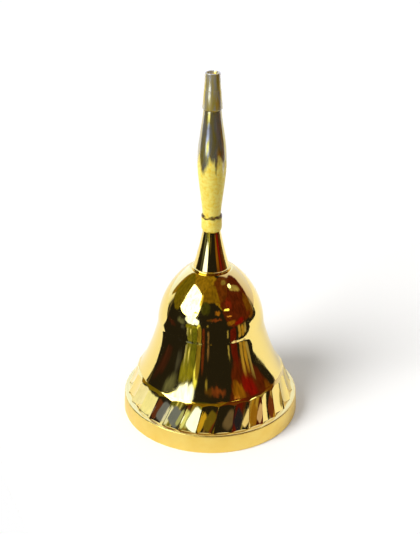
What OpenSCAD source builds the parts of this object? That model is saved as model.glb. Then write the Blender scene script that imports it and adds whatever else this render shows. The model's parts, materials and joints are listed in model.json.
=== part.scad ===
// Hand bell: a cast and turned brass shell with a band of slanted flutes above its lip, a handle of
// turned pieces threaded on one tie rod, and a clapper that hangs from the rod's lower end.
// The bell stands on its lip: z = 0 is the lip plane and the Z axis is the axis of the bell.

/* [Lip] */
// Outer diameter of the mouth
mouth_d = 64; // [60:0.5:70]
// Height of the satin lip band
lip_h = 7.2; // [5:0.1:10]
// Radius that the lip band loses from its foot to its top
lip_taper = 0.3; // [0:0.05:0.6]
// Radius of the rounded lower edge of the lip
lip_edge_r = 0.7; // [0.3:0.1:1.2]
// Thickness of the lip's wall
lip_wall = 2.4; // [1.8:0.1:3.2]
// Radius of the rounded upper edge of the lip
lip_top_edge = 0.6; // [0.1:0.05:0.8]

/* [Fluted band] */
// Number of slanted flutes round the bell
flutes = 30; // [24:1:36]
// Height of the fluted band with its bevel
band_h = 9.5; // [7:0.1:12]
// Radius that the band loses from its foot to the bevel at its top
band_draw = 3.2; // [2.6:0.1:3.8]
// How far the band's foot lies behind the lip's top edge, which leaves a flat ledge
lip_step = 1.4; // [0.8:0.1:2]
// Height of the bevel that ends the band at its top
bevel_h = 0.9; // [0.5:0.1:1.5]
// How far the band stands proud of the waist at the bevel
bevel_w = 1.1; // [0.7:0.05:1.4]
// Depth of a flute at its middle
flute_depth = 0.42; // [0.3:0.02:0.5]
// Radius of the round cutter that makes the flutes
cutter_r = 18; // [14:0.5:30]
// Slant of the flutes from upright, in degrees
flute_slant = 19; // [0:1:24]
// Angle of the first flute round the bell, in degrees
flute_start = 4; // [-6:0.5:6]

/* [Shell above the band] */
// Height from the band's top to the barrel
flare_h = 19.5; // [16:0.5:23]
// Diameter of the barrel, where the flare ends
barrel_d = 38; // [35:0.5:41]
// Height from the barrel to the crown
shoulder_h = 20.8; // [17:0.5:24]
// Diameter of the crown's flat seat
crown_d = 15.2; // [14.4:0.2:17]
// Thickness of the crown
crown_t = 3; // [2.4:0.1:4]
// Thickness of the shell's wall above the lip
shell_wall = 2; // [1.4:0.1:2.4]

/* [Handle foot] */
// Diameter of the flange that seats on the crown
flange_d = 13.8; // [13:0.1:14.2]
// Thickness of the flange
flange_t = 0.8; // [0.6:0.1:1.2]
// Diameter of the cone just above the flange
foot_d = 12.6; // [11.4:0.1:12.8]
// Height of the whole foot
foot_h = 14.2; // [11:0.2:18]
// Diameter at the foot's top
foot_top_d = 6.2; // [5.6:0.1:6.6]

/* [Collar] */
// Diameter of the collar
collar_d = 7.1; // [6.8:0.1:8]
// Height of the collar
collar_h = 5.8; // [4:0.2:8]
// Diameter of the collar's lower end
collar_foot_d = 5.5; // [5:0.1:6]
// Depth of the cup that holds the grip's foot
collar_cup = 0.5; // [0.3:0.1:1]

/* [Grip] */
// Diameter of the grip's foot
grip_foot_d = 6.3; // [5.8:0.1:6.4]
// Largest diameter of the grip
grip_d = 9.9; // [8.5:0.1:12]
// Diameter of the grip's neck
grip_neck_d = 6.05; // [5.4:0.05:6.3]
// Height from the collar's rim to the grip's widest place
grip_low_h = 19.8; // [16:0.2:24]
// Height from the grip's widest place to its top
grip_high_h = 18.2; // [15:0.2:22]
// Chamfer on the grip's top edge
grip_chamfer = 0.4; // [0.2:0.05:0.6]

/* [Ferrule and finial] */
// Diameter at the ferrule's foot, which overhangs the grip
ferrule_d = 6.7; // [6.4:0.1:7.4]
// Height of the ferrule
ferrule_h = 6.4; // [4:0.2:9]
// Diameter at the ferrule's top
ferrule_top_d = 5.7; // [5.4:0.1:6.2]
// Diameter of the finial nut at its foot
finial_d = 5.5; // [5.3:0.1:5.9]
// Diameter of the finial nut at its top
finial_top_d = 5; // [4.7:0.1:5.2]
// Height of the finial nut
finial_h = 5.6; // [4:0.2:8]
// Depth of the countersink in the finial nut's top
sink_depth = 0.8; // [0.4:0.1:1.2]
// Width of the countersink beyond the rod, on each side
sink_w = 0.5; // [0.3:0.05:0.6]

/* [Tie rod and its nut] */
// Diameter of the tie rod
rod_d = 3; // [2.6:0.1:3.2]
// Thickness of the washer under the crown
washer_t = 0.8; // [0.5:0.1:1.2]
// Diameter of the washer
washer_d = 9; // [7.5:0.1:10]
// Height of the crown nut
nut_h = 2.4; // [1.8:0.1:3.2]
// Width of the crown nut across its flats
nut_af = 5.5; // [5:0.1:6.5]
// Length of round rod that shows below the nut
rod_tail = 0.6; // [0.3:0.1:1.5]
// Thickness of the flattened tongue at the rod's lower end
tongue_t = 1.6; // [1.2:0.1:1.9]
// Height from the tongue's hole to its shoulder
tongue_h = 2.4; // [2:0.1:4]
// Diameter of the hole through the tongue
tongue_hole_d = 1.7; // [1.6:0.05:1.8]

/* [Hanger link] */
// Diameter of the link's wire
link_wire_d = 1.2; // [1:0.05:1.3]
// Diameter of the link, measured at the middle of its wire
link_d = 6.8; // [6:0.1:8]

/* [Clapper] */
// Diameter of the stem's wire
stem_d = 1.6; // [1.3:0.1:1.8]
// Inner diameter of the eye at the stem's top
eye_d = 2.4; // [2.2:0.1:3]
// Diameter of the ball
ball_d = 11; // [9:0.2:12]
// Height of the ball's middle above the lip plane
ball_z = 9; // [8:0.2:14]
// Diameter of the peened end under the ball
peen_d = 2.6; // [2.2:0.1:3.4]
// Height of the peened end
peen_h = 0.7; // [0.4:0.1:1]

/* [Fits] */
// Clearance of the rod in its bores, on each side
bore_fit = 0.05; // [0.02:0.01:0.08]
// Clearance of the grip's foot in the collar's cup, on each side
cup_fit = 0.1; // [0.05:0.01:0.15]
// Play between the link and the clapper's eye
eye_play = 0.25; // [0.2:0.05:0.3]
// Width by which sharp turned edges are broken
edge_break = 0.15; // [0.05:0.05:0.2]

/* [Hidden] */

// Points on each curve of an outline, on each rounded edge, and round each circle
curve_steps = 18;
edge_steps = 5;
$fn = 96;
wire_fn = 40;
// How far a cutter reaches past the face that it cuts
over = 1;

brass = [0.87, 0.70, 0.33];
satin_brass = [0.90, 0.78, 0.42];
steel = [0.68, 0.68, 0.70];

// Heights of the joints, from the lip plane upwards
band_z = lip_h;
waist_z = band_z + band_h;
barrel_z = waist_z + flare_h;
crown_z = barrel_z + shoulder_h;
collar_z = crown_z + foot_h;
rim_z = collar_z + collar_h;
widest_z = rim_z + grip_low_h;
ferrule_z = widest_z + grip_high_h;
finial_z = ferrule_z + ferrule_h;
top_z = finial_z + finial_h;

// Heights of what hangs under the crown, downwards
washer_z = crown_z - crown_t - washer_t;
nut_z = washer_z - nut_h;
tongue_z = nut_z - rod_tail;
hole_z = tongue_z - tongue_h;
link_low_z = hole_z - link_d;
eye_z = link_low_z + link_wire_d / 2 + eye_play - eye_d / 2;

// Radii of the shell and of the rod's bores
mouth_r = mouth_d / 2;
lip_top_r = mouth_r - lip_taper;
band_foot_r = lip_top_r - lip_step;
band_top_r = band_foot_r - band_draw;
waist_r = band_top_r - bevel_w;
bore_r = rod_d / 2 + bore_fit;

// Lean of the band from upright
band_lean = atan(band_draw / (band_h - bevel_h));

// A point on the cubic curve through a and d with handles b and c
function on_curve(a, b, c, d, t) =
    pow(1 - t, 3) * a + 3 * t * pow(1 - t, 2) * b + 3 * t * t * (1 - t) * c + pow(t, 3) * d;

// The curve's points, without its first one
function curve(a, b, c, d, n = curve_steps) = [for (i = [1:n]) on_curve(a, b, c, d, i / n)];

// Points of an arc round the point c, from angle a0 to angle a1
function arc(c, r, a0, a1, n = edge_steps) =
    [for (i = [0:n]) let (a = a0 + (a1 - a0) * i / n) c + r * [cos(a), sin(a)]];

// A line of points moved to its left by w
function inset(p, w) =
    [for (i = [0:len(p) - 1])
        let (q = p[max(i - 1, 0)], s = p[min(i + 1, len(p) - 1)], d = (s - q) / norm(s - q))
        p[i] + w * [-d[1], d[0]]];

// The shell's outside from the waist to the crown's edge: flare, then shoulder
flare_slope = -0.55;
barrel_slope = -0.05;
crown_slope = -1.5;
shell_curve = concat(
    [[waist_r, waist_z]],
    curve([waist_r, waist_z],
          [waist_r + flare_slope * flare_h * 0.4, waist_z + flare_h * 0.4],
          [barrel_d / 2 - barrel_slope * flare_h * 0.1, barrel_z - flare_h * 0.1],
          [barrel_d / 2, barrel_z]),
    curve([barrel_d / 2, barrel_z],
          [barrel_d / 2 + barrel_slope * shoulder_h * 0.54, barrel_z + shoulder_h * 0.54],
          [crown_d / 2 - crown_slope * shoulder_h * 0.1, crown_z - shoulder_h * 0.1],
          [crown_d / 2, crown_z]));

module tube_cut(r, z0, z1) {
    translate([0, 0, z0]) cylinder(r = r, h = z1 - z0);
}

// The lip band, with the flat ledge on its top on which the flutes end
module lip_outside() {
    rotate_extrude()
    polygon(concat(
        [[0, 0]],
        arc([mouth_r - lip_edge_r, lip_edge_r], lip_edge_r, -90, 0),
        arc([lip_top_r - lip_top_edge, band_z - lip_top_edge], lip_top_edge, 0, 90),
        [[0, band_z]]));
}

// The shell above the lip as it is turned, before its flutes are cut
module turned_outside() {
    rotate_extrude()
    polygon(concat(
        [[0, lip_edge_r], [band_foot_r, lip_edge_r], [band_foot_r, band_z]],
        [[band_top_r, waist_z - bevel_h]],
        shell_curve,
        [[0, crown_z]]));
}

// The hollow of the bell, from below the lip to the underside of the crown
module shell_inside() {
    inner = inset(concat([[band_foot_r, band_z]], shell_curve), shell_wall);
    intersection() {
        rotate_extrude()
        polygon(concat(
            [[0, -over], [mouth_r - lip_wall, -over], [mouth_r - lip_wall, 0]],
            inner,
            [[0, crown_z]]));
        tube_cut(mouth_r, -over, crown_z - crown_t);
    }
}

// The round cutter's path along one flute: leaned with the band, turned by the slant, and set so
// that it cuts flute_depth into the band at its middle. It ends just past the bevel.
module flute_cutter() {
    run_h = band_h - bevel_h;
    run = run_h / cos(band_lean) / cos(flute_slant);
    past = bevel_h / cos(band_lean) + over;
    translate([(band_foot_r + band_top_r) / 2, 0, band_z + run_h / 2])
    rotate([0, -band_lean, 0])
    rotate([-flute_slant, 0, 0])
    translate([cutter_r - flute_depth, 0, -run / 2 - 2 * over])
    cylinder(r = cutter_r, h = run + past + 2 * over);
}

module bell_body() {
    color(satin_brass)
    difference() {
        union() {
            lip_outside();
            difference() {
                turned_outside();
                for (i = [0:flutes - 1])
                rotate(flute_start + i * 360 / flutes)
                flute_cutter();
            }
        }
        shell_inside();
        tube_cut(bore_r, crown_z - crown_t - over, crown_z + over);
    }
}

// A turned piece: its outline's outer points, closed on the axis, with the rod's bore through it
module turned(outer) {
    z0 = outer[0][1];
    z1 = outer[len(outer) - 1][1];
    difference() {
        rotate_extrude() polygon(concat([[0, z0]], outer, [[0, z1]]));
        tube_cut(bore_r, z0 - over, z1 + over);
    }
}

module handle_foot() {
    cone_z = crown_z + flange_t;
    cone_h = foot_h - flange_t;
    color(brass)
    turned(concat(
        arc([flange_d / 2 - flange_t / 2, crown_z + flange_t / 2], flange_t / 2, -90, 90),
        [[foot_d / 2, cone_z]],
        curve([foot_d / 2, cone_z],
              [foot_d / 2 - cone_h * 0.09, cone_z + cone_h * 0.3],
              [foot_top_d / 2 + cone_h * 0.06, collar_z - cone_h * 0.35],
              [foot_top_d / 2, collar_z])));
}

module collar() {
    bell_r = collar_d / 2;
    edge_h = bell_r - collar_foot_d / 2;
    color(brass)
    difference() {
        turned(concat(
            [[collar_foot_d / 2, collar_z]],
            curve([collar_foot_d / 2, collar_z],
                  [bell_r - edge_h * 0.4, collar_z],
                  [bell_r, collar_z + edge_h * 0.8],
                  [bell_r, collar_z + edge_h * 2.5], edge_steps),
            [[bell_r, rim_z]]));
        tube_cut(grip_foot_d / 2 + cup_fit, rim_z - collar_cup, rim_z + over);
    }
}

module grip() {
    neck_r = grip_neck_d / 2;
    color(brass)
    turned(concat(
        [[grip_foot_d / 2, rim_z - collar_cup]],
        [[grip_foot_d / 2, rim_z]],
        curve([grip_foot_d / 2, rim_z],
              [grip_foot_d / 2, rim_z + grip_low_h * 0.22],
              [grip_d / 2, widest_z - grip_low_h * 0.34],
              [grip_d / 2, widest_z]),
        curve([grip_d / 2, widest_z],
              [grip_d / 2, widest_z + grip_high_h * 0.36],
              [neck_r + grip_high_h * 0.016, ferrule_z - grip_chamfer - grip_high_h * 0.3],
              [neck_r, ferrule_z - grip_chamfer]),
        [[neck_r - grip_chamfer, ferrule_z]]));
}

module ferrule() {
    color(brass)
    turned([
        [ferrule_d / 2 - edge_break, ferrule_z],
        [ferrule_d / 2, ferrule_z + edge_break],
        [ferrule_top_d / 2, finial_z]]);
}

module finial_nut() {
    color(brass)
    difference() {
        turned([
            [finial_d / 2, finial_z],
            [finial_top_d / 2, top_z - edge_break],
            [finial_top_d / 2 - edge_break, top_z]]);
        translate([0, 0, top_z - sink_depth])
        cylinder(r1 = bore_r, r2 = bore_r + sink_w, h = sink_depth);
    }
}

// The rod ends flush with the foot of the finial's countersink, and in a drilled tongue below
module tie_rod() {
    end_z = hole_z - rod_d / 2;
    color(brass)
    difference() {
        union() {
            tube_cut(rod_d / 2, hole_z, top_z - sink_depth);
            intersection() {
                translate([0, 0, hole_z]) rotate([0, 90, 0])
                cylinder(d = rod_d, h = rod_d, center = true);
                tube_cut(rod_d / 2, end_z - over, hole_z + over);
            }
        }
        for (side = [-1, 1])
        translate([side * (tongue_t / 2 + rod_d / 2), 0, (end_z - over + tongue_z) / 2])
        cube([rod_d, rod_d + over, tongue_z - end_z + over], center = true);
        translate([0, 0, hole_z]) rotate([0, 90, 0])
        cylinder(d = tongue_hole_d, h = rod_d + over, center = true, $fn = wire_fn);
    }
}

module crown_washer() {
    color(steel)
    difference() {
        tube_cut(washer_d / 2, washer_z, washer_z + washer_t);
        tube_cut(bore_r, washer_z - over, washer_z + washer_t + over);
    }
}

module crown_nut() {
    color(steel)
    difference() {
        translate([0, 0, nut_z]) cylinder(d = nut_af / cos(30), h = nut_h, $fn = 6);
        tube_cut(bore_r, nut_z - over, nut_z + nut_h + over);
    }
}

// A ring of round wire whose hole looks along Y
module hanger_link() {
    color(steel)
    translate([0, 0, hole_z - link_d / 2])
    rotate([90, 0, 0])
    rotate_extrude() translate([link_d / 2, 0]) circle(d = link_wire_d, $fn = wire_fn);
}

// One wire: an eye whose hole looks along X, the stem, and the end peened over under the ball
module clapper_stem() {
    eye_r = (eye_d + stem_d) / 2;
    ball_low_z = ball_z - ball_d / 2;
    color(steel)
    union() {
        translate([0, 0, eye_z])
        rotate([0, 90, 0])
        rotate_extrude() translate([eye_r, 0]) circle(d = stem_d, $fn = wire_fn);
        tube_cut(stem_d / 2, ball_low_z, eye_z - eye_r);
        translate([0, 0, ball_low_z - peen_h])
        cylinder(d1 = stem_d, d2 = peen_d, h = peen_h);
    }
}

module clapper_ball() {
    color(brass)
    translate([0, 0, ball_z])
    difference() {
        intersection() {
            sphere(d = ball_d);
            cylinder(d = ball_d, h = ball_d, center = true);
        }
        cylinder(r = stem_d / 2 + bore_fit, h = ball_d + over, center = true);
    }
}

bell_body();
handle_foot();
collar();
grip();
ferrule();
finial_nut();
tie_rod();
crown_washer();
crown_nut();
hanger_link();
clapper_stem();
clapper_ball();
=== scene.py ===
import json
import math

import bpy
from bpy.props import FloatProperty, FloatVectorProperty, IntProperty, PointerProperty
from mathutils import Matrix, Quaternion, Vector

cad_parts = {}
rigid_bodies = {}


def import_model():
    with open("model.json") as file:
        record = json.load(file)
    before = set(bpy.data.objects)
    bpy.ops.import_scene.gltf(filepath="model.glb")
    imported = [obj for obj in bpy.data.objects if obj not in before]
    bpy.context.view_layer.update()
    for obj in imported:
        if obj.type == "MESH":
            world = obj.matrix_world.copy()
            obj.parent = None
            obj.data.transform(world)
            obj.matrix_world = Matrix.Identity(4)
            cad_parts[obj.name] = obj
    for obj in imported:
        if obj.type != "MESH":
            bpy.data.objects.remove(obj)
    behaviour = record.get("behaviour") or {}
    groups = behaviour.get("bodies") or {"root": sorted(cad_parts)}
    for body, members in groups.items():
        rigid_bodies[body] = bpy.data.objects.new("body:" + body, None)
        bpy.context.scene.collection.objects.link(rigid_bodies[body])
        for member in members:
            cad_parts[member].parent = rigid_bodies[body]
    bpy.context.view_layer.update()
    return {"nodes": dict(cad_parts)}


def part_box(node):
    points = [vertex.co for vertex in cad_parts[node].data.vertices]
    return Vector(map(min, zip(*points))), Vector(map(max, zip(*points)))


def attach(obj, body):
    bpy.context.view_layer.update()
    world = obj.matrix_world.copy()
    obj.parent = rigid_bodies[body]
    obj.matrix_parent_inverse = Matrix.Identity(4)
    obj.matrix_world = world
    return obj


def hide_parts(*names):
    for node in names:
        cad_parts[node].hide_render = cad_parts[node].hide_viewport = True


bl_info = {
    "name": "Brass Hand Bell",
    "version": (1, 0, 0),
    "blender": (4, 5, 0),
    "location": "View3D > Sidebar > Hand Bell",
    "description": "A turned brass hand bell with a band of slanted flutes and a swinging clapper",
    "category": "Add Mesh",
}

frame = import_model()

MM = 0.001

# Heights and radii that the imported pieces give
MOUTH_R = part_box("bell_body")[1].x
CROWN_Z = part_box("bell_body")[1].z
FLANGE_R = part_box("handle_foot")[1].x
COLLAR_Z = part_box("collar")[0].z
COLLAR_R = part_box("collar")[1].x
RIM_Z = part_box("collar")[1].z
GRIP_FOOT_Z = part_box("grip")[0].z
GRIP_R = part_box("grip")[1].x
FERRULE_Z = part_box("ferrule")[0].z
FERRULE_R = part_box("ferrule")[1].x
FINIAL_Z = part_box("finial_nut")[0].z
FINIAL_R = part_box("finial_nut")[1].x
TOP_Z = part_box("finial_nut")[1].z
ROD_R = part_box("tie_rod")[1].y

# How many steps a piece is turned in, and the angle in degrees from which its edges are hard
SHELL_STEPS, SHELL_SHARP = 240, 24
HANDLE_STEPS, HANDLE_SHARP = 128, 30
CUTTER_SIDES = 512
# Points nearer than this are one point
SAME_PLACE = MM / 1000

# The Mix node's colour sockets by number, because its other kinds have the same names
MIX_A, MIX_B, MIX_OUT = 6, 7, 2


def length(name, description, value):
    """A length property, written in millimetres and kept in metres."""
    return FloatProperty(name=name, description=description, default=value * MM, min=0,
                         subtype="DISTANCE", unit="LENGTH")


def angle(name, description, degrees):
    """An angle property, written in degrees."""
    return FloatProperty(name=name, description=description, default=math.radians(degrees),
                         subtype="ANGLE", unit="ROTATION")


def number(name, description, value, least=0):
    """A plain number property."""
    return FloatProperty(name=name, description=description, default=value, min=least)


def tint(name, description, rgb):
    """A colour property."""
    return FloatVectorProperty(name=name, description=description, default=rgb, size=3,
                               subtype="COLOR", min=0, max=1)


class BellSizes(bpy.types.PropertyGroup):
    """Sizes of the bell's shell and of its handle"""

    lip_h: length("Lip height", "Height of the satin lip band", 7.2)
    lip_taper: length("Lip taper", "Radius that the lip loses from its foot to its top", 0.3)
    lip_edge_r: length("Lip edge", "Radius of the lip's rounded lower edge", 0.7)
    lip_wall: length("Lip wall", "Thickness of the lip's wall", 2.4)
    lip_top_edge: length("Lip top edge", "Radius of the lip's rounded upper edge", 0.6)
    flutes: IntProperty(name="Flutes", description="Number of slanted flutes", default=30, min=3)
    band_h: length("Band height", "Height of the fluted band with its bevel", 9.5)
    band_draw: length("Band draw", "Radius that the band loses from its foot to the bevel", 3.2)
    lip_step: length("Lip step", "How far the band's foot lies behind the lip's edge", 1.4)
    cove_r: length("Cove radius", "Radius of the hollow in which the flutes run out", 0.8)
    cove_turn: angle("Cove turn", "How far the hollow turns upwards", 55)
    cove_sink: length("Cove sink", "How deep the hollow's top ends in the metal", 0.1)
    bevel_h: length("Bevel height", "Height of the bevel above the flutes", 0.9)
    bevel_w: length("Bevel width", "How far the band stands proud of the waist", 1.1)
    flute_depth: length("Flute depth", "Depth of a flute at its middle", 0.42)
    cutter_r: length("Cutter radius", "Radius of the round cutter that makes the flutes", 18)
    flute_slant: angle("Flute slant", "Slant of the flutes from upright", 19)
    flute_start: angle("First flute", "Angle of the first flute round the bell", 4)
    flare_h: length("Flare height", "Height from the band's top to the barrel", 19.5)
    barrel_d: length("Barrel diameter", "Diameter where the flare ends", 38)
    crown_d: length("Crown diameter", "Diameter of the crown's flat seat", 15.2)
    crown_t: length("Crown thickness", "Thickness of the crown", 3)
    shell_wall: length("Wall", "Thickness of the shell above the lip", 2)
    flange_t: length("Flange thickness", "Thickness of the handle foot's flange", 0.8)
    foot_d: length("Foot diameter", "Diameter of the foot just above its flange", 12.6)
    foot_top_d: length("Foot top diameter", "Diameter of the foot at its top", 6.2)
    collar_foot_d: length("Collar foot diameter", "Diameter of the collar's lower end", 5.5)
    collar_cup: length("Collar cup", "Depth of the cup that holds the grip", 0.5)
    cup_fit: length("Cup clearance", "Clearance of the grip in the cup, on each side", 0.1)
    grip_foot_d: length("Grip foot diameter", "Diameter of the grip's foot", 6.3)
    grip_neck_d: length("Grip neck diameter", "Diameter of the grip's neck", 6.05)
    grip_low_h: length("Grip swell height", "Height from the collar to the widest place", 19.8)
    grip_chamfer: length("Grip chamfer", "Chamfer on the grip's top edge", 0.4)
    ferrule_top_d: length("Ferrule top diameter", "Diameter of the ferrule at its top", 5.7)
    finial_top_d: length("Finial top diameter", "Diameter of the finial nut at its top", 5)
    sink_depth: length("Countersink depth", "Depth of the finial's countersink", 0.8)
    sink_w: length("Countersink width", "Width of the countersink beyond the rod", 0.5)
    bore_fit: length("Bore clearance", "Clearance of the rod in its bores", 0.05)
    edge_round: length("Edge round", "Radius of the broken turned edges", 0.15)


class BellFinish(bpy.types.PropertyGroup):
    """Colours of the bell's metals"""

    polished: tint("Polished brass", "Colour of the polished shell", (0.93, 0.72, 0.22))
    satin: tint("Satin brass", "Colour of the satin lip", (0.88, 0.66, 0.18))
    handle: tint("Handle brass", "Colour of the handle's pieces", (1.0, 0.86, 0.2))
    # The upper handle's grey colour is partly a film on the brass and partly painted shade, for
    # the dark room that it reflects
    smoked_and_shaded: tint("Smoked brass", "Colour of the handle's darkened upper half", (0.57, 0.54, 0.44))
    steel: tint("Plated steel", "Colour of the washer, nut and wire", (0.62, 0.62, 0.63))
    inside: tint("Cast inside", "Colour of the shell's unpolished inside", (0.52, 0.38, 0.15))


class BellStudio(bpy.types.PropertyGroup):
    """The camera, and the light round the bell"""

    camera_back: length("Camera distance", "How far the camera stands in front of the axis", 339.3)
    camera_h: length("Camera height", "Height of the camera above the table", 226.9)
    camera_side: length("Camera offset", "How far the camera stands to the left", 0.45)
    camera_pitch: angle("Camera pitch", "How far the camera looks down", 26.625)
    camera_roll: angle("Camera roll", "Turn of the camera about its line of sight", 0.4)
    focal_px: number("Focal length", "In pixels of the picture's height", 1080, 1)
    picture_h: number("Picture height", "In pixels", 534, 1)
    lamp_power: number("Lamp power", "Strength of the window's light", 3.6)
    lamp_width: angle("Lamp width", "How wide the window's light is", 36)
    lamp_azimuth: angle("Lamp azimuth", "How far round to the right the lamp stands", -52)
    lamp_elevation: angle("Lamp elevation", "How high the lamp stands", 36)
    fill: number("Fill light", "Level of the even light", 0.36)
    floor_glow: number("Floor level", "Light that the floor gives itself", 0.12)


def deselect():
    """Leaves edit mode and selects nothing."""
    if bpy.context.object and bpy.context.object.mode != "OBJECT":
        bpy.ops.object.mode_set(mode="OBJECT")
    bpy.ops.object.select_all(action="DESELECT")


def pick(piece):
    """Selects one object alone and makes it active."""
    deselect()
    piece.select_set(True)
    bpy.context.view_layer.objects.active = piece
    return piece


def settle(piece, name):
    """Names a piece and applies its place, so that its object sits at the origin."""
    pick(piece)
    piece.name = name
    piece.data.name = name
    bpy.ops.object.transform_apply(location=True, rotation=True, scale=True)
    return piece


def on_curve(a, b, c, d, t):
    """The point at t of the cubic curve through a and d with handles b and c."""
    s = 1 - t
    return tuple(s ** 3 * i + 3 * t * s * s * j + 3 * t * t * s * k + t ** 3 * m
                 for i, j, k, m in zip(a, b, c, d))


def curve(a, b, c, d, steps=48):
    """The curve's points, without its first one."""
    return [on_curve(a, b, c, d, (i + 1) / steps) for i in range(steps)]


def sloped(low, low_slope, low_pull, high, high_slope, high_pull):
    """A curve that rises between two points, with its change of radius with height at each of
    them and the lengths of its handles as shares of its height."""
    rise = high[1] - low[1]
    low_h, high_h = rise * low_pull, rise * high_pull
    return curve(low, (low[0] + low_slope * low_h, low[1] + low_h),
                 (high[0] - high_slope * high_h, high[1] - high_h), high)


def arc(centre, radius, start, end, steps=6):
    """Points of an arc round a centre, from the start angle to the end angle in degrees."""
    turns = [math.radians(start + (end - start) * i / steps) for i in range(steps + 1)]
    return [(centre[0] + radius * math.cos(a), centre[1] + radius * math.sin(a)) for a in turns]


def inset(points, wall):
    """A line of points moved to its left by the wall's thickness."""
    moved = []
    for i, (r, z) in enumerate(points):
        before, after = points[max(i - 1, 0)], points[min(i + 1, len(points) - 1)]
        run, rise = after[0] - before[0], after[1] - before[1]
        span = math.hypot(run, rise)
        moved.append((r - wall * rise / span, z + wall * run / span))
    return moved


def draw_outline(points):
    """Extrudes one point along a closed outline, and leaves it selected in edit mode."""
    deselect()
    bpy.ops.mesh.primitive_plane_add(size=MM, location=(0, 0, 0))
    piece = bpy.context.object
    bpy.ops.object.mode_set(mode="EDIT")
    bpy.ops.mesh.select_mode(type="VERT")
    bpy.ops.mesh.select_all(action="SELECT")
    bpy.ops.mesh.merge(type="CENTER")
    bpy.ops.transform.translate(value=points[0])
    last = Vector(points[0])
    for point in points[1:] + points[:1]:
        bpy.ops.mesh.extrude_vertices_move(
            TRANSFORM_OT_translate={"value": Vector(point) - last})
        last = Vector(point)
    bpy.ops.mesh.select_all(action="SELECT")
    bpy.ops.mesh.remove_doubles(threshold=SAME_PLACE)
    return piece


def leave_edit_mode(inside=False):
    """Turns the mesh's faces outwards, or inwards, and goes back to object mode."""
    bpy.ops.mesh.select_all(action="SELECT")
    bpy.ops.mesh.normals_make_consistent(inside=inside)
    bpy.ops.object.mode_set(mode="OBJECT")


def turn(name, outline, steps):
    """Draws a closed outline of (radius, height) points and spins it round the Z axis."""
    piece = draw_outline([(r, 0, z) for r, z in outline])
    bpy.ops.mesh.spin(steps=steps, angle=2 * math.pi, center=(0, 0, 0), axis=(0, 0, 1))
    bpy.ops.mesh.select_all(action="SELECT")
    bpy.ops.mesh.remove_doubles(threshold=SAME_PLACE)
    leave_edit_mode()
    return settle(piece, name)


def smooth(piece, degrees):
    """Smooth shading with a hard edge wherever the faces meet at more than the angle."""
    pick(piece)
    bpy.ops.object.shade_smooth_by_angle(angle=math.radians(degrees))


def finish_with(piece, slot, body, node, *materials):
    """Gives a piece its materials, sets what it rides on, and hides the CAD node that it stands
    for.
    """
    piece.data.materials.clear()
    for material in materials:
        piece.data.materials.append(material)
    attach(piece, body)
    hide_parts(node)
    return piece


def link(material, source, output, target, name):
    """Links one node's output to another node's input."""
    material.node_tree.links.new(source.outputs[output], target.inputs[name])


def new_node(material, kind, **values):
    """Adds a shader node and sets its settings and its input values by name."""
    node = material.node_tree.nodes.new("ShaderNode" + kind)
    for name, value in values.items():
        label = name.replace("_", " ").title()
        if label in node.inputs:
            node.inputs[label].default_value = value
        else:
            setattr(node, name, value)
    return node


def new_material(name, colour, metallic, roughness):
    """A material with one Principled shader, and that shader."""
    material = bpy.data.materials.new(name)
    material.use_nodes = True
    shader = material.node_tree.nodes["Principled BSDF"]
    shader.inputs["Base Color"].default_value = (*colour, 1)
    shader.inputs["Metallic"].default_value = metallic
    shader.inputs["Roughness"].default_value = roughness
    material.diffuse_color = (*colour, 1)
    return material, shader


def grain(material, coordinates, scale, detail=3, roughness=0.5):
    """A noise texture on the piece's own coordinates."""
    noise = new_node(material, "TexNoise", scale=scale, detail=detail, roughness=roughness)
    link(material, coordinates, "Object", noise, "Vector")
    return noise


def ramp(material, source, output, low, high, out_low, out_high, clamp=True):
    """Maps one value range to another."""
    node = new_node(material, "MapRange", clamp=clamp)
    for name, value in (("From Min", low), ("From Max", high), ("To Min", out_low),
                        ("To Max", out_high)):
        node.inputs[name].default_value = value
    link(material, source, output, node, "Value")
    return node


def bump(material, height, output, depth, below=None):
    """A bump of the given depth, on top of another one."""
    node = new_node(material, "Bump", strength=1, distance=depth)
    link(material, height, output, node, "Height")
    if below:
        link(material, below, "Normal", node, "Normal")
    return node


def blend(material, share, first, second):
    """Mixes two colours by a mapped value. Each is a fixed colour or another mix."""
    node = new_node(material, "Mix", data_type="RGBA")
    link(material, share, "Result", node, 0)
    for index, colour in ((MIX_A, first), (MIX_B, second)):
        if isinstance(colour, bpy.types.Node):
            link(material, colour, MIX_OUT, node, index)
        else:
            node.inputs[index].default_value = (*colour, 1)
    return node


def maths(material, operation, *inputs):
    """A Math node on fixed numbers and on pairs of a node and its output."""
    node = new_node(material, "Math", operation=operation)
    for index, value in enumerate(inputs):
        if isinstance(value, tuple):
            link(material, *value, node, index)
        else:
            node.inputs[index].default_value = value
    return node


def mixed_shader(material, share, first, second):
    """A shader mixed from two by a share, which is a pair of a node and its output."""
    node = new_node(material, "MixShader")
    for index, source in enumerate((share, (first, 0), (second, 0))):
        link(material, *source, node, index)
    return node


def patched(material, noise, low, high, colour, factors):
    """A colour with patches in a second tone, which is the first one times the factors."""
    share = ramp(material, noise, "Fac", low, high, 0, 1)
    return blend(material, share, colour, [c * f for c, f in zip(colour, factors)])


def specked(material, shader, noise, depth, below=None):
    """Gives a shader fine bumps of the given depth, on top of others."""
    link(material, bump(material, noise, "Fac", depth, below), "Normal", shader, "Normal")


def uneven_gloss(material, shader, noise, top, smoothest, roughest):
    """Roughness that follows a noise between two values. The noise is full at its top."""
    gloss = ramp(material, noise, "Fac", 0.3, top, smoothest, roughest)
    link(material, gloss, "Result", shader, "Roughness")


def uneven_height(material, place, noise, low, high):
    """The height on the bell, moved down or up by a noise."""
    axes = new_node(material, "SeparateXYZ")
    link(material, place, "Object", axes, "Vector")
    shift = ramp(material, noise, "Fac", 0.3, 0.7, low, high)
    return maths(material, "ADD", (axes, "Z"), (shift, "Result"))


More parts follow.
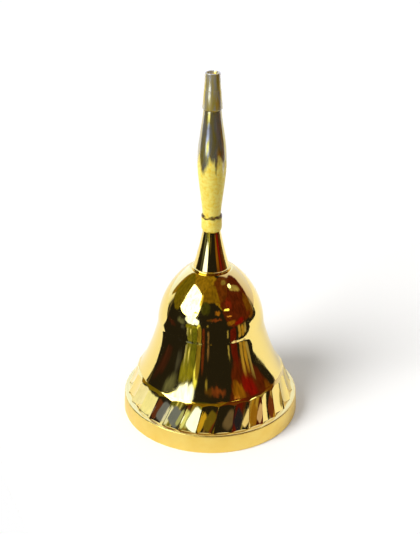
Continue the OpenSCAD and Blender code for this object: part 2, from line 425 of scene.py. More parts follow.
def polished_brass(finish):
    """Mirror polish with a faint waviness, a fine speckle and a little uneven gloss."""
    material, shader = new_material("polished_brass", finish.polished, 1, 0.05)
    place = new_node(material, "TexCoord")
    wave = bump(material, grain(material, place, 90, 1), "Fac", 0.03 * MM)
    specked(material, shader, grain(material, place, 1400, 2), 0.0012 * MM, wave)
    uneven_gloss(material, shader, grain(material, place, 260, 4), 0.75, 0.035, 0.085)
    return material


def satin_brass(finish):
    """Fine satin grain, a little more orange in patches."""
    material, shader = new_material("satin_brass", finish.satin, 1, 0.4)
    place = new_node(material, "TexCoord")
    colour = patched(material, grain(material, place, 130, 3), 0.35, 0.7, finish.satin,
                     (0.97, 0.90, 0.72))
    link(material, colour, MIX_OUT, shader, "Base Color")
    specked(material, shader, grain(material, place, 2600, 3, 0.6), 0.01 * MM)
    uneven_gloss(material, shader, grain(material, place, 700, 3), 0.7, 0.34, 0.46)
    return material


def mottled_surface(material, place):
    """Bumps of a pitted, worn casting: soft waves, then fine pits."""
    soft = bump(material, grain(material, place, 420, 3, 0.6), "Fac", 0.05 * MM)
    pits = new_node(material, "TexVoronoi", scale=1900)
    link(material, place, "Object", pits, "Vector")
    deep = ramp(material, pits, "Distance", 0.0, 0.45, 0, 1)
    return bump(material, deep, "Result", 0.02 * MM, soft)


def worn_brass(material, shader, place, finish):
    """Makes a shader bright, mottled and pitted, with a dark, uneven line at the collar's rim."""
    link(material, mottled_surface(material, place), "Normal", shader, "Normal")
    colour = patched(material, grain(material, place, 1000, 5, 0.6), 0.38, 0.68, finish.handle,
                     (0.93, 0.77, 0.2))
    height = uneven_height(material, place, grain(material, place, 500, 4), -0.5 * MM, 0.7 * MM)
    above_rim = maths(material, "SUBTRACT", (height, 0), RIM_Z)
    from_rim = maths(material, "ABSOLUTE", (above_rim, 0))
    line = ramp(material, from_rim, 0, 0.15 * MM, 0.7 * MM, 1, 0)
    joint = blend(material, line, colour, (0.1, 0.05, 0.01))
    link(material, joint, MIX_OUT, shader, "Base Color")
    uneven_gloss(material, shader, grain(material, place, 900, 4), 0.75, 0.34, 0.55)


def handle_brass(finish):
    """Bright brass with a mottled, pitted surface."""
    material, shader = new_material("handle_brass", finish.handle, 0.2, 0.4)
    worn_brass(material, shader, new_node(material, "TexCoord"), finish)
    return material


def upright_noise(material, place, scale, stretch):
    """Noise drawn out along the bell's axis."""
    stretched = new_node(material, "Mapping")
    stretched.inputs["Scale"].default_value = (1, 1, stretch)
    link(material, place, "Object", stretched, "Vector")
    noise = new_node(material, "TexNoise", scale=scale, detail=4)
    link(material, stretched, "Vector", noise, "Vector")
    return noise


def smoke_and_shade(material, shader, place, finish):
    """Makes a shader smooth brass under a thin grey film, worn off in upright streaks; partly
    painted light.
    """
    # Painted shade and highlight: the grey film stands in partly for the dark room that the upper
    # handle reflects, and its golden streaks partly for streaks of reflected light
    colour = patched(material, upright_noise(material, place, 800, 0.12), 0.43, 0.61,
                     finish.smoked_and_shaded, (1.14, 0.94, 0.2))
    link(material, colour, MIX_OUT, shader, "Base Color")
    specked(material, shader, grain(material, place, 900, 3), 0.008 * MM)
    uneven_gloss(material, shader, grain(material, place, 500, 4), 0.75, 0.12, 0.24)


def smoked_and_shaded_brass(finish):
    """Brass under a thin grey film, with the polish still on it; the film is partly painted shade.
    """
    material, shader = new_material("smoked_and_shaded_brass", finish.smoked_and_shaded, 0.62, 0.14)
    smoke_and_shade(material, shader, new_node(material, "TexCoord"), finish)
    return material


def grip_brass(finish, widest_z):
    """The grip: mottled and bright below its widest place, grey-filmed and smooth above; the split
    is partly painted light.
    """
    material, smoked_and_shaded = new_material("grip_brass", finish.smoked_and_shaded, 0.85, 0.14)
    place = new_node(material, "TexCoord")
    flames = upright_noise(material, place, 430, 0.25)
    height = uneven_height(material, place, flames, -3.5 * MM, 3.5 * MM)
    # Painted light at the widest place: bright below, where the grip faces down at the white
    # sheet, and dark above, where it faces up at the dark room
    share = ramp(material, height, 0, widest_z - 1.6 * MM, widest_z + 1 * MM, 0, 1)
    bright = new_node(material, "BsdfPrincipled", metallic=0.2, roughness=0.4)
    worn_brass(material, bright, place, finish)
    smoke_and_shade(material, smoked_and_shaded, place, finish)
    both = mixed_shader(material, (share, "Result"), bright, smoked_and_shaded)
    link(material, both, 0, material.node_tree.nodes["Material Output"], "Surface")
    return material


def cast_brass(finish):
    """The shell's inside: dull, with the turning tool's rings and casting grain."""
    material, shader = new_material("cast_brass", finish.inside, 1, 0.45)
    place = new_node(material, "TexCoord")
    colour = patched(material, grain(material, place, 120, 4), 0.35, 0.7, finish.inside,
                     (0.6, 0.6, 0.6))
    link(material, colour, MIX_OUT, shader, "Base Color")
    rings = new_node(material, "TexWave", wave_type="BANDS", bands_direction="Z",
                     scale=300, distortion=0.6)
    link(material, place, "Object", rings, "Vector")
    turned = bump(material, rings, "Fac", 0.02 * MM)
    specked(material, shader, grain(material, place, 1500, 3), 0.02 * MM, turned)
    return material


def plated_steel(finish):
    """Bright plated steel with a fine speckle and uneven gloss."""
    material, shader = new_material("plated_steel", finish.steel, 1, 0.28)
    place = new_node(material, "TexCoord")
    specked(material, shader, grain(material, place, 1800, 4), 0.008 * MM)
    uneven_gloss(material, shader, grain(material, place, 400, 3), 0.7, 0.2, 0.4)
    return material


def shell_lines(s):
    """The shell's outside from the waist up, and its inside from the lip up."""
    # Change of radius with height where the flare starts, at the barrel and at the crown
    flare_slope, barrel_slope, crown_slope = -0.55, -0.05, -1.5
    # Lengths of the curves' handles, as shares of their heights
    waist_pull, barrel_low_pull, barrel_high_pull, crown_pull = 0.4, 0.1, 0.54, 0.1
    waist = (MOUTH_R - s.lip_taper - s.lip_step - s.band_draw - s.bevel_w, s.lip_h + s.band_h)
    barrel = (s.barrel_d / 2, waist[1] + s.flare_h)
    crown = (s.crown_d / 2, CROWN_Z)
    outside = [waist]
    outside += sloped(waist, flare_slope, waist_pull, barrel, barrel_slope, barrel_low_pull)
    outside += sloped(barrel, barrel_slope, barrel_high_pull, crown, crown_slope, crown_pull)
    band_foot = (MOUTH_R - s.lip_taper - s.lip_step, s.lip_h)
    # The inside follows every third point of the outside, because it is less seen
    inside = inset([band_foot] + outside[::3], s.shell_wall)
    ceiling = CROWN_Z - s.crown_t
    return outside, [p for p in inside if p[1] < ceiling]


def shell_outline(s):
    """The closed outline of the bell's shell, from the lip's lower edge outwards and up."""
    lip_top_r = MOUTH_R - s.lip_taper
    band_foot_r = lip_top_r - s.lip_step
    bevel_z = s.lip_h + s.band_h - s.bevel_h
    bore_r = ROD_R + s.bore_fit
    inner_r = MOUTH_R - s.lip_wall
    edge = s.edge_round
    outside, inside = shell_lines(s)
    outline = [(inner_r + edge, 0)]
    outline += arc((MOUTH_R - s.lip_edge_r, s.lip_edge_r), s.lip_edge_r, -90, 0, 8)
    outline += arc((lip_top_r - s.lip_top_edge, s.lip_h - s.lip_top_edge), s.lip_top_edge,
                   0, 90, 6)
    outline += [(band_foot_r, s.lip_h), (band_foot_r - s.band_draw, bevel_z)]
    outline += outside
    outline += [(bore_r, CROWN_Z), (bore_r, CROWN_Z - s.crown_t)]
    outline += [(inside[-1][0], CROWN_Z - s.crown_t)]
    outline += inside[::-1]
    outline += [(inner_r, edge)]
    return outline


def apply_boolean(shell, operation, **values):
    """Changes the shell with a Boolean that has the given settings."""
    pick(shell)
    change = shell.modifiers.new("change", "BOOLEAN")
    change.operation = operation
    change.solver = "MANIFOLD"
    for name, value in values.items():
        setattr(change, name, value)
    bpy.ops.object.modifier_apply(modifier=change.name)


def flute_cutter(s):
    """One round bar, leaned and slanted as a flute is, cut off level with the lip's top."""
    run_h = s.band_h - s.bevel_h
    lean = math.atan(s.band_draw / run_h)
    # Length by which the bar passes the flute's ends
    spare = 1 * MM
    run = run_h / math.cos(lean) / math.cos(s.flute_slant)
    depth = run + s.bevel_h / math.cos(lean) + 3 * spare
    band_r = MOUTH_R - s.lip_taper - s.lip_step - s.band_draw / 2
    deselect()
    bpy.ops.mesh.primitive_cylinder_add(vertices=CUTTER_SIDES, radius=s.cutter_r, depth=depth)
    cutter = bpy.context.object
    foot = -run / 2 - 2 * spare
    cutter.matrix_world = (
        Matrix.Rotation(s.flute_start, 4, "Z")
        @ Matrix.Translation((band_r, 0, s.lip_h + run_h / 2))
        @ Matrix.Rotation(-lean, 4, "Y")
        @ Matrix.Rotation(-s.flute_slant, 4, "X")
        @ Matrix.Translation((s.cutter_r - s.flute_depth, 0, foot + depth / 2)))
    settle(cutter, "flute_cutter")
    lift = s.flute_depth * math.cos(lean)
    turned = Matrix.Rotation(s.flute_start, 3, "Z")
    outwards = Vector((math.cos(lean), 0, math.sin(lean)))
    outwards.rotate(turned)
    above = turned @ Vector((band_r, 0, s.lip_h + run_h / 2))
    bpy.ops.object.mode_set(mode="EDIT")
    bpy.ops.mesh.select_all(action="SELECT")
    bpy.ops.mesh.bisect(plane_co=above + outwards * lift, plane_no=outwards, clear_outer=True,
                        use_fill=True)
    bpy.ops.mesh.select_all(action="SELECT")
    bpy.ops.mesh.bisect(plane_co=(0, 0, s.lip_h), plane_no=(0, 0, 1), clear_inner=True,
                        use_fill=True)
    leave_edit_mode()
    return cutter


def cut_flutes(shell, s):
    """Cuts the flutes out of the shell with copies of the cutter, set round the bell."""
    cutter = flute_cutter(s)
    cutters = bpy.data.collections.new("flute_cutters")
    for i in range(s.flutes):
        copy = cutter.copy()
        copy.data = cutter.data.copy()
        copy.data.transform(Matrix.Rotation(2 * math.pi * i / s.flutes, 4, "Z"))
        cutters.objects.link(copy)
    apply_boolean(shell, "DIFFERENCE", operand_type="COLLECTION", collection=cutters)
    for copy in list(cutters.objects) + [cutter]:
        bpy.data.objects.remove(copy)
    bpy.data.collections.remove(cutters)


def add_cove(shell, s):
    """Adds the hollow at the flutes' feet, which rises from the ledge into every flute."""
    lean = math.atan(s.band_draw / (s.band_h - s.bevel_h))
    foot_r = MOUTH_R - s.lip_taper - s.lip_step - s.flute_depth / math.cos(lean)
    rise = s.cove_r * (1 - math.cos(s.cove_turn))
    end_r = foot_r - rise * math.tan(lean) - s.cove_sink
    middle = (end_r + s.cove_r * math.sin(s.cove_turn), s.lip_h + s.cove_r)
    outline = arc(middle, s.cove_r, -90, -90 - math.degrees(s.cove_turn), 12)
    deep = s.shell_wall / 4
    outline += [(end_r - deep, s.lip_h + rise), (end_r - deep, s.lip_h - deep),
                (middle[0], s.lip_h - deep)]
    cove = turn("cove", outline, SHELL_STEPS)
    apply_boolean(shell, "UNION", object=cove)
    bpy.data.objects.remove(cove)


def paint_shell(shell, s):
    """Sets each face's finish: polished, satin on the lip, cast on the inside."""
    polished, satin, cast = range(3)
    lip_inner_r = MOUTH_R - s.lip_wall
    for face in shell.data.polygons:
        centre = face.center
        radius = math.hypot(centre.x, centre.y)
        outward = face.normal.x * centre.x + face.normal.y * centre.y
        below = centre.z < CROWN_Z - s.crown_t / 2
        # An inner face looks at the axis, or down from under the crown
        facing_in = outward < -1e-6 or (face.normal.z < -0.3 and centre.z > s.lip_h)
        if below and facing_in:
            face.material_index = cast
        elif centre.z < s.lip_h - s.edge_round and radius > lip_inner_r - s.edge_round:
            face.material_index = satin
        else:
            face.material_index = polished


class HANDBELL_OT_shell(bpy.types.Operator):
    """Turn the bell's shell and cut its band of slanted flutes"""

    bl_idname = "handbell.shell"
    bl_label = "Shell"

    def execute(self, context):
        s, finish = context.scene.bell_sizes, context.scene.bell_finish
        shell = turn("bell_shell", shell_outline(s), SHELL_STEPS)
        cut_flutes(shell, s)
        add_cove(shell, s)
        smooth(shell, SHELL_SHARP)
        finish_with(shell, "shell_brass", "bell", "bell_body", polished_brass(finish),
                    satin_brass(finish), cast_brass(finish))
        paint_shell(shell, s)
        return {"FINISHED"}


def foot_outline(s, bore_r):
    """The handle's foot: a rounded flange and a slim trumpet, with the rod's bore."""
    flange_r = s.flange_t / 2
    cone_z = CROWN_Z + s.flange_t
    cone_h = COLLAR_Z - cone_z
    # Slopes and lengths of the cone's two handles, as shares of its height
    low_slope, low_pull, high_slope, high_pull = 0.09, 0.3, 0.06, 0.35
    outline = [(bore_r, CROWN_Z)]
    outline += arc((FLANGE_R - flange_r, CROWN_Z + flange_r), flange_r, -90, 90, 12)
    outline += [(s.foot_d / 2, cone_z)]
    outline += curve((s.foot_d / 2, cone_z),
                     (s.foot_d / 2 - cone_h * low_slope, cone_z + cone_h * low_pull),
                     (s.foot_top_d / 2 + cone_h * high_slope, COLLAR_Z - cone_h * high_pull),
                     (s.foot_top_d / 2, COLLAR_Z))
    return outline + [(bore_r, COLLAR_Z)]


def collar_outline(s, bore_r):
    """The collar, with the cup in its top."""
    edge_h = COLLAR_R - s.collar_foot_d / 2
    cup_r = s.grip_foot_d / 2 + s.cup_fit
    cup_z = RIM_Z - s.collar_cup
    edge = s.edge_round / 2
    # The rounded foot's handles and its height, as shares of its width
    out_pull, up_pull, round_h = 0.4, 0.8, 2.5
    outline = [(bore_r, COLLAR_Z), (s.collar_foot_d / 2, COLLAR_Z)]
    outline += curve((s.collar_foot_d / 2, COLLAR_Z), (COLLAR_R - edge_h * out_pull, COLLAR_Z),
                     (COLLAR_R, COLLAR_Z + edge_h * up_pull),
                     (COLLAR_R, COLLAR_Z + edge_h * round_h), 16)
    outline += arc((COLLAR_R - edge, RIM_Z - edge), edge, 0, 90, 4)
    return outline + [(cup_r, RIM_Z), (cup_r, cup_z), (bore_r, cup_z)]


def grip_outline(s, bore_r):
    """The grip: a long baluster with its foot in the collar's cup."""
    foot_r, neck_r = s.grip_foot_d / 2, s.grip_neck_d / 2
    widest_z = RIM_Z + s.grip_low_h
    neck_z = FERRULE_Z - s.grip_chamfer
    high_h = FERRULE_Z - widest_z
    # Lengths of the curves' handles, and the neck's slope, as shares of their heights
    foot_pull, below_pull, above_pull, neck_pull, neck_slope = 0.22, 0.34, 0.36, 0.3, 0.016
    outline = [(bore_r, GRIP_FOOT_Z), (foot_r, GRIP_FOOT_Z), (foot_r, RIM_Z)]
    outline += sloped((foot_r, RIM_Z), 0, foot_pull, (GRIP_R, widest_z), 0, below_pull)
    outline += curve((GRIP_R, widest_z), (GRIP_R, widest_z + high_h * above_pull),
                     (neck_r + high_h * neck_slope, neck_z - high_h * neck_pull),
                     (neck_r, neck_z))
    return outline + [(neck_r - s.grip_chamfer, FERRULE_Z), (bore_r, FERRULE_Z)]


def ferrule_outline(s, bore_r):
    """The ferrule: a tapered sleeve with broken edges."""
    edge = s.edge_round
    outline = [(bore_r, FERRULE_Z)]
    outline += arc((FERRULE_R - edge, FERRULE_Z + edge), edge, -90, 0, 4)
    outline += [(s.ferrule_top_d / 2, FINIAL_Z - edge / 2)]
    return outline + [(s.ferrule_top_d / 2 - edge / 2, FINIAL_Z), (bore_r, FINIAL_Z)]


def finial_outline(s, bore_r):
    """The finial nut, with the countersink in its top."""
    edge = s.edge_round
    outline = [(bore_r, FINIAL_Z), (FINIAL_R, FINIAL_Z)]
    outline += arc((s.finial_top_d / 2 - edge, TOP_Z - edge), edge, 0, 90, 4)
    return outline + [(bore_r + s.sink_w, TOP_Z), (bore_r, TOP_Z - s.sink_depth)]


class HANDBELL_OT_handle(bpy.types.Operator):
    """Turn the handle's foot, collar, grip, ferrule and finial nut"""

    bl_idname = "handbell.handle"
    bl_label = "Handle"

    def execute(self, context):
        s, finish = context.scene.bell_sizes, context.scene.bell_finish
        bore_r = ROD_R + s.bore_fit
        polished = bpy.data.materials["polished_brass"]
        bright, smoked_and_shaded = handle_brass(finish), smoked_and_shaded_brass(finish)
        lit_and_shaded_grip = grip_brass(finish, RIM_Z + s.grip_low_h)
        # The ferrule and finial take the grey-filmed brass, which is partly painted shade for the
        # dark room that they reflect
        for name, node, outline, material in (
                ("foot", "handle_foot", foot_outline, polished),
                ("handle_collar", "collar", collar_outline, bright),
                ("handle_grip", "grip", grip_outline, lit_and_shaded_grip),
                ("handle_ferrule", "ferrule", ferrule_outline, smoked_and_shaded),
                ("handle_finial", "finial_nut", finial_outline, smoked_and_shaded)):
            piece = turn(name, outline(s, bore_r), HANDLE_STEPS)
            smooth(piece, HANDLE_SHARP)
            finish_with(piece, "handle_brass", "bell", node, material)
        return {"FINISHED"}


class HANDBELL_OT_fixings(bpy.types.Operator):
    """Finish the tie rod, washer, nut, link and clapper, which keep their CAD shape"""

    bl_idname = "handbell.fixings"
    bl_label = "Fixings"

    def execute(self, context):
        finish = context.scene.bell_finish
        steel, bright = plated_steel(finish), bpy.data.materials["handle_brass"]
        for node, material in (("tie_rod", bright), ("crown_washer", steel),
                               ("crown_nut", steel), ("hanger_link", steel),
                               ("clapper_stem", steel), ("clapper_ball", bright)):
            piece = frame["nodes"][node]
            for slot in piece.material_slots:
                slot.material = material
        return {"FINISHED"}


# Cards round the bell that only its polish shows, each listed with: azimuth and elevation of
# the middle, width, height and tilt, all in degrees, then colour, the soft share of the edge, how
# square the card is, from 2 for an oval upwards, and how ragged its edge is in degrees. A later
# card covers an earlier one. The far ones are seen from the axis
FAR_CARDS = (
    ("ceiling", -35, 70, 170, 40, 0, (0.26, 0.165, 0.012), 0.3, 6, 5),
    ("ceiling_front", 4, 53, 50, 24, 0, (0.19, 0.115, 0.008), 0.5, 4, 6),
    ("ceiling_right", 50, 56, 56, 34, 0, (0.115, 0.032, 0.007), 0.5, 3, 6),
    ("green_front", -14, 33, 22, 20, 0, (0.05, 0.055, 0.012), 0.8, 3, 5),
    ("left_wall", -98, 31, 38, 44, 0, (0.15, 0.125, 0.009), 0.4, 4, 5),
    ("window", -57, 33, 48, 38, 0, (4.5, 4.9, 4.5), 0.05, 3.4, 1.5),
    ("window_corner", -89, 20, 13, 26, 35, (0.15, 0.12, 0.009), 0.3, 3, 1.5),
    ("window_edge", -29, 41, 6, 20, 0, (0.75, 0.6, 0.1), 0.8, 3, 3),
    ("window_smear", -37, 24, 12, 3, -8, (1.0, 1.0, 0.25), 0.8, 2, 2),
    ("right_wall", 72, 28, 78, 58, 0, (0.085, 0.015, 0.006), 0.3, 4, 6),
    ("red_high", 50, 33, 18, 18, 0, (0.17, 0.018, 0.01), 0.9, 2, 5),
    ("brown_front", -3, 17, 14, 5, 0, (0.1, 0.048, 0.012), 0.9, 2, 4),
    ("brown_low", 13, 17, 26, 6, 0, (0.19, 0.05, 0.02), 0.9, 2.4, 6),
    ("amber", 16, 26.5, 14, 8, 0, (0.33, 0.14, 0.018), 0.8, 2.4, 5),
    ("low_bar", 43, 18, 13, 2.2, 8, (0.9, 0.4, 0.1), 0.8, 2.6, 1.5),
    ("lamp_bar", 40, 27.5, 14, 3, 10, (1.8, 1.6, 0.5), 0.5, 3, 1.5),
    ("pane", 89, 38, 32, 8, 38, (0.37, 0.31, 0.14), 0.7, 3, 3),
    ("pane_top", 70, 58, 16, 9, 20, (0.26, 0.2, 0.07), 0.8, 2.4, 3),
    ("right_light", 80, 46.5, 10, 6, 20, (3.0, 3.4, 3.0), 0.6, 2.4, 2),
)

# Cards near the bell, as the flare sees them
FLARE_CARDS = (
    ("green_sill", -42, 5, 30, 11, 0, (0.27, 0.28, 0.025), 0.8, 2.6, 3),
    ("window_sill", -43, 15.4, 36, 12, 0, (1.9, 2.3, 3.9), 0.5, 2.8, 3),
    ("window_foot", -26.5, 8, 9, 11, 0, (1.1, 1.2, 0.35), 0.8, 2.4, 3),
    ("left_stripe", -110, 5, 4, 24, 0, (0.15, 0.13, 0.09), 0.7, 4, 2),
    ("left_low", -92, -4, 30, 8, 0, (0.045, 0.015, 0.014), 0.9, 2, 4),
    ("blue_green", -62, 0, 14, 10, 0, (0.05, 0.053, 0.075), 0.9, 2, 4),
    ("grey_green", -69, 7.5, 24, 10, 0, (0.12, 0.135, 0.12), 0.9, 2.6, 4),
    ("olive_left", -44.5, -8, 12, 26, 0, (0.19, 0.205, 0.035), 0.5, 4, 3),
    ("olive_middle", -34, -8, 12, 28, 0, (0.13, 0.15, 0.017), 0.5, 4, 3),
    ("olive_right", -24, -6, 10, 32, 0, (0.25, 0.2, 0.035), 0.5, 4, 2.5),
    ("left_streak", -50, -4, 4, 16, 0, (0.42, 0.43, 0.3), 0.9, 4, 3),
    ("pale_thread", -43, -2, 3, 11, 0, (0.75, 0.75, 0.4), 0.9, 3, 2),
    ("brown_column", -15, -7, 6, 32, 0, (0.11, 0.025, 0.011), 0.6, 4, 2.5),
    ("middle_streak", -5, -9, 4.5, 26, 0, (0.2, 0.13, 0.08), 0.9, 4, 3),
    ("middle_dot", -7, 12, 5, 5, 0, (0.3, 0.25, 0.08), 0.9, 2, 2),
    ("right_side", 101, 14, 22, 30, 0, (0.15, 0.06, 0.007), 0.6, 3, 5),
    ("brown_right", 92, 8, 22, 9, 0, (0.1, 0.018, 0.006), 0.8, 2.4, 4),
    ("red_low", 66, 8, 28, 10, 0, (0.19, 0.006, 0.006), 0.8, 2.4, 4),
    ("orange", 46, 12, 24, 8, 0, (0.25, 0.11, 0.009), 0.8, 2.6, 4),
    ("dark_red", 48, -9, 15, 26, 0, (0.095, 0.009, 0.006), 0.5, 4, 3),
    ("side_streak", 36, -5, 4, 16, 0, (0.3, 0.26, 0.12), 0.9, 4, 2.5),
    ("gold", 63, -6, 8, 22, -6, (0.36, 0.24, 0.06), 0.8, 4, 3),
    ("gold_right", 71, -7, 8, 20, -6, (0.36, 0.22, 0.035), 0.8, 4, 3),
    ("grey_column", 77.5, -5, 7, 16, 0, (0.34, 0.27, 0.14), 0.7, 4, 2.5),
    ("right_edge", 112, 10, 5, 20, 0, (0.28, 0.23, 0.19), 0.9, 3, 2),
)

# Low cards close round the bell, which only the fluted band sees, each with the azimuth of the
# flutes that it is for and its distance from them in millimetres
BAND_CARDS = (
    ("band_white_far", -112, -11, 34, 15, 0, (0.97, 1.05, 1.3), 0.2, 6, 1, -63, 30),
    ("band_white", -92, -6.3, 36, 12, 0, (1.0, 1.1, 1.2), 0.2, 6, 1, -50, 38),
    ("band_blue_left", -77, -0.6, 17, 12, 0, (0.16, 0.2, 0.5), 0.4, 4, 1, -37, 38),
    ("band_pale_left", -85, -0.4, 6, 12, 0, (0.7, 0.8, 1.4), 0.6, 4, 1, -34, 37),
    ("band_rust", -63, -2.4, 12, 12, 0, (0.12, 0.04, 0.03), 0.5, 4, 1, -42, 38),
    ("band_blue", -51, 2.2, 20, 11, 0, (0.17, 0.22, 0.52), 0.3, 5, 1, -26, 38),
    ("band_blue_end", -61, 4, 6, 11, 0, (0.45, 0.55, 0.5), 0.6, 4, 1, -22, 37),
    ("band_pale", -36.5, -0.9, 9, 12, 0, (0.9, 1.05, 1.6), 0.4, 4, 0.6, -32, 38),
    ("band_olive", -23, 3.2, 7, 11, 0, (0.42, 0.5, 0.33), 0.5, 4, 0.6, -16, 38),
    ("band_yellow", -15, 1, 7, 12, 0, (0.85, 1.0, 0.75), 0.5, 4, 0.6, -20, 38),
    ("band_window", -34.5, 7.1, 18, 18, 0, (1.3, 1.7, 3.4), 0.3, 5, 0.6, -12, 28),
    ("band_brown", -7, 7.2, 13, 17, 0, (0.15, 0.12, 0.02), 0.6, 4, 1, -2, 28),
    ("band_gold", 7, 1.1, 9, 12, 0, (0.6, 0.42, 0.05), 0.5, 4, 0.6, -8, 38),
    ("band_grey", 10, 9.4, 14, 20, 0, (0.14, 0.11, 0.11), 0.8, 4, 1, 13, 24),
    ("band_dark", 47, 0.6, 16, 12, 0, (0.018, 0.018, 0.05), 0.4, 4, 1, 18, 38),
    ("band_bar", 29, 9.3, 8, 20, 0, (0.9, 0.82, 0.8), 0.4, 4, 0.6, 26, 24),
    ("band_bronze", 68, -2.2, 15, 12, 0, (0.29, 0.15, 0.02), 0.4, 4, 1, 31, 38),
    ("band_rose", 53.5, 4.6, 10, 12, 0, (0.6, 0.45, 0.5), 0.5, 4, 1, 37, 35),
    ("band_red", 78, -0.8, 15, 12, 0, (0.15, 0.04, 0.02), 0.4, 4, 1, 48, 38),
    ("band_dun", 96, -4, 9, 12, 0, (0.36, 0.3, 0.2), 0.6, 3, 1, 61, 38),
)

# Each set's cards, then the radius and height on the bell from which they are seen, and how far
# away they stand, or 0 where every card has its own distance
CARD_SETS = ((FAR_CARDS, 0, 0, 1.2), (FLARE_CARDS, 23 * MM, 25 * MM, 0.19),
             (BAND_CARDS, 29 * MM, 11.5 * MM, 0))
# Each card stands nearer than the one before it by its set's distance divided by this
LAYERS = 200
# Scale of a card's mottling, seen from the bell, and its strength on cards past and within 0.1 m
CARD_GRAIN, CARD_MOTTLE, NEAR_CARD_MOTTLE, NEAR_CARD = 11, 0.45, 0.12, 0.1
SENSOR_MM = 36


def card_material(name, away, colour, soft, square, ragged):
    """Light of one colour, with rounded corners and soft, ragged edges."""
    material = bpy.data.materials.new(name)
    material.use_nodes = True
    material.node_tree.nodes.clear()
    output = new_node(material, "OutputMaterial")
    glow = new_node(material, "Emission", color=(*colour, 1))
    clear = new_node(material, "BsdfTransparent")
    place = new_node(material, "TexCoord")
    uneven = grain(material, place, CARD_GRAIN / away, 5, 0.6)
    mottle = CARD_MOTTLE if away > NEAR_CARD else NEAR_CARD_MOTTLE
    level = ramp(material, uneven, "Fac", 0.3, 0.7, 1 - mottle, 1 + mottle)
    link(material, level, "Result", glow, "Strength")
    shift = new_node(material, "VectorMath", operation="MULTIPLY_ADD")
    link(material, uneven, "Color", shift, 0)
    shift.inputs[1].default_value = (*ragged, 0)
    link(material, place, "UV", shift, 2)
    axes = new_node(material, "SeparateXYZ")
    link(material, shift, "Vector", axes, "Vector")
    raised = []
    for axis, wear in zip("XY", ragged):
        across = ramp(material, axes, axis, wear / 2, wear / 2 + 1, -1, 1, clamp=False)
        aside = maths(material, "ABSOLUTE", (across, "Result"))
        raised.append((maths(material, "POWER", (aside, 0), square), 0))
    share = ramp(material, maths(material, "ADD", *raised), 0, 1 - soft, 1, 1, 0)
    shown = mixed_shader(material, (share, "Result"), clear, glow)
    link(material, shown, 0, output, "Surface")
    return material


def towards(azimuth, elevation):
    """The direction at an azimuth, counted from the front to the right, and an elevation."""
    level = math.cos(elevation)
    return Vector((math.sin(azimuth) * level, -math.cos(azimuth) * level, math.sin(elevation)))


def add_card(seen_r, seen_z, away, name, azimuth, elevation, width, height, tilt, colour, soft,
             square, ragged, seen_az=None, close_mm=0):
    """A card that faces the bell and shows only in its polish. A card without an azimuth on the
    bell is seen half-way round to its own, where a round piece reflects it to the front."""
    aim = towards(math.radians(azimuth), math.radians(elevation))
    away = away or close_mm * MM
    seen_az = math.radians(azimuth / 2 if seen_az is None else seen_az)
    seen_from = towards(seen_az, 0) * seen_r + Vector((0, 0, seen_z))
    deselect()
    bpy.ops.mesh.primitive_plane_add(size=1, location=seen_from + aim * away)
    card = bpy.context.object
    turned = aim.to_track_quat("Z", "Y") @ Quaternion((0, 0, 1), math.radians(-tilt))
    card.rotation_euler = turned.to_euler()
    card.scale = (2 * away * math.tan(math.radians(width) / 2),
                  2 * away * math.tan(math.radians(height) / 2), 1)
    settle(card, "card_" + name)
    worn = (2 * ragged / width, 2 * ragged / height)
    card.data.materials.append(card_material("card_" + name, away, colour, soft, square, worn))
    card.visible_camera = False
    card.visible_diffuse = False
    card.visible_transmission = False
    card.visible_shadow = False


def add_camera(studio):
    """The camera in front of the bell, looking down at it."""
    place = Vector((-studio.camera_side, -studio.camera_back, studio.camera_h))
    deselect()
    bpy.ops.object.camera_add(location=place)
    camera = bpy.context.object
    camera.name = "camera"
    level = Matrix.Rotation(math.pi / 2 - studio.camera_pitch, 4, "X")
    camera.matrix_world = (Matrix.Translation(place) @ level
                           @ Matrix.Rotation(studio.camera_roll, 4, "Z"))
    camera.data.sensor_width = SENSOR_MM
    camera.data.lens = studio.focal_px / studio.picture_h * SENSOR_MM
    camera.data.clip_start = 0.01
    bpy.context.scene.camera = camera


# Corners of the white sheet that the bell stands on, in millimetres. It ends near the bell in
# front and on the left, so the polish shows the dark room past those edges
SHEET = ((-55, -78), (76, -78), (95, -40), (130, -20), (185, -12), (245, -20), (264, 10),
         (245, 45), (235, 74), (255, 106), (330, 145), (900, 400), (900, 1500), (-900, 1500),
         (-900, 400), (-300, 104), (-200, 52), (-150, 41), (-94, 38), (-84, 24), (-79, -5),
         (-70, -45))


def add_floor(studio):
    """A plain white sheet, which shows the bell's shadow. Seen from below it is clear."""
    floor = draw_outline([(x * MM, y * MM, 0) for x, y in SHEET])
    bpy.ops.mesh.edge_face_add()
    leave_edit_mode(inside=True)
    settle(floor, "floor")
    material, shader = new_material("white_sheet", (0.9, 0.9, 0.9), 0, 0.9)
    shader.inputs["Specular IOR Level"].default_value = 0.1
    shader.inputs["Emission Color"].default_value = (0.98, 0.99, 1.0, 1)
    seen = new_node(material, "LightPath")
    either = maths(material, "MAXIMUM", (seen, "Is Camera Ray"), (seen, "Is Glossy Ray"))
    glow = maths(material, "MULTIPLY", (either, 0), studio.floor_glow)
    link(material, glow, 0, shader, "Emission Strength")
    side = new_node(material, "NewGeometry")
    below = maths(material, "MULTIPLY", (seen, "Is Camera Ray"), (side, "Backfacing"))
    clear = new_node(material, "BsdfTransparent")
    shown = mixed_shader(material, (below, 0), shader, clear)
    link(material, shown, 0, material.node_tree.nodes["Material Output"], "Surface")
    floor.data.materials.append(material)


def add_lamp(studio):
    """Soft light from where the window is. The cards take its place in the polish."""
    place = towards(studio.lamp_azimuth, studio.lamp_elevation)
    deselect()
    bpy.ops.object.light_add(type="SUN", location=place)
    lamp = bpy.context.object
    lamp.name = "window_lamp"
    lamp.rotation_euler = place.to_track_quat("Z", "Y").to_euler()
    lamp.data.energy = studio.lamp_power
    lamp.data.angle = studio.lamp_width
    lamp.visible_glossy = False


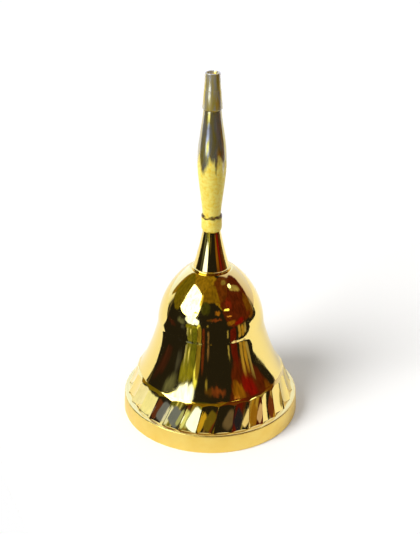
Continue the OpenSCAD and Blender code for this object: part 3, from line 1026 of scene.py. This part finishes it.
def add_world(studio):
    """White behind the bell, a dark room in front of it in the polish, and even light."""
    world = bpy.context.scene.world or bpy.data.worlds.new("room")
    bpy.context.scene.world = world
    world.use_nodes = True
    world.node_tree.nodes.clear()
    output = new_node(world, "OutputWorld")
    white = new_node(world, "Background", color=(1, 1, 1, 1), strength=1)
    even = new_node(world, "Background", color=(1, 0.96, 0.9, 1), strength=studio.fill)
    seen = new_node(world, "LightPath")
    place = new_node(world, "TexCoord")
    # How far a direction leans to the back and upwards, where the room is bright
    lean = new_node(world, "VectorMath", operation="DOT_PRODUCT")
    lean.inputs[1].default_value = (0, 1, 0.44)
    link(world, place, "Generated", lean, 0)
    aside = new_node(world, "SeparateXYZ")
    link(world, place, "Generated", aside, "Vector")
    rightwards = ramp(world, aside, "X", -0.5, 0.5, 0, 1)
    near = blend(world, rightwards, (0.98, 0.99, 0.9), (0.72, 0.62, 0.72))
    far = blend(world, rightwards, (1.07, 1.36, 2.6), (0.87, 0.95, 1.5))
    backdrop = blend(world, ramp(world, lean, "Value", 0.45, 0.95, 0, 1), near, far)
    behind = ramp(world, lean, "Value", 0.38, 0.46, 0, 1)
    colour = blend(world, behind, (0.016, 0.014, 0.014), backdrop)
    room = new_node(world, "Background", strength=1)
    link(world, colour, MIX_OUT, room, "Color")
    shine = mixed_shader(world, (seen, "Is Glossy Ray"), even, room)
    front = maths(world, "MAXIMUM", (seen, "Is Camera Ray"), (seen, "Is Transmission Ray"))
    shown = mixed_shader(world, (front, 0), shine, white)
    link(world, shown, 0, output, "Surface")


class HANDBELL_OT_studio(bpy.types.Operator):
    """Set up the camera, the white sheet, the lamp and the surroundings"""

    bl_idname = "handbell.studio"
    bl_label = "Studio"

    def execute(self, context):
        studio = context.scene.bell_studio
        context.scene.view_settings.view_transform = "Standard"
        add_camera(studio)
        add_floor(studio)
        add_lamp(studio)
        add_world(studio)
        for cards, seen_r, seen_z, away in CARD_SETS:
            for layer, card in enumerate(cards):
                add_card(seen_r, seen_z, away * (1 - layer / LAYERS), *card)
        return {"FINISHED"}


class HANDBELL_PT_panel(bpy.types.Panel):
    """The bell's steps, sizes and colours in the sidebar"""

    bl_label = "Hand Bell"
    bl_idname = "HANDBELL_PT_panel"
    bl_space_type = "VIEW_3D"
    bl_region_type = "UI"
    bl_category = "Hand Bell"

    def draw(self, context):
        layout = self.layout
        for operator in STEPS:
            layout.operator(operator.bl_idname)
        for group in GROUPS:
            box = layout.box()
            settings = getattr(context.scene, group)
            for name in settings.bl_rna.properties.keys():
                if name not in ("rna_type", "name"):
                    box.prop(settings, name)


STEPS = (HANDBELL_OT_studio, HANDBELL_OT_shell, HANDBELL_OT_handle, HANDBELL_OT_fixings)
GROUPS = {"bell_sizes": BellSizes, "bell_finish": BellFinish, "bell_studio": BellStudio}
CLASSES = (*GROUPS.values(), *STEPS, HANDBELL_PT_panel)


def register():
    for cls in CLASSES:
        bpy.utils.register_class(cls)
    for name, group in GROUPS.items():
        setattr(bpy.types.Scene, name, PointerProperty(type=group))


def unregister():
    for name in GROUPS:
        delattr(bpy.types.Scene, name)
    for cls in reversed(CLASSES):
        bpy.utils.unregister_class(cls)


def main():
    """Makes the whole scene."""
    register()
    bpy.ops.handbell.studio()
    bpy.ops.handbell.shell()
    bpy.ops.handbell.handle()
    bpy.ops.handbell.fixings()


if __name__ == "__main__":
    main()
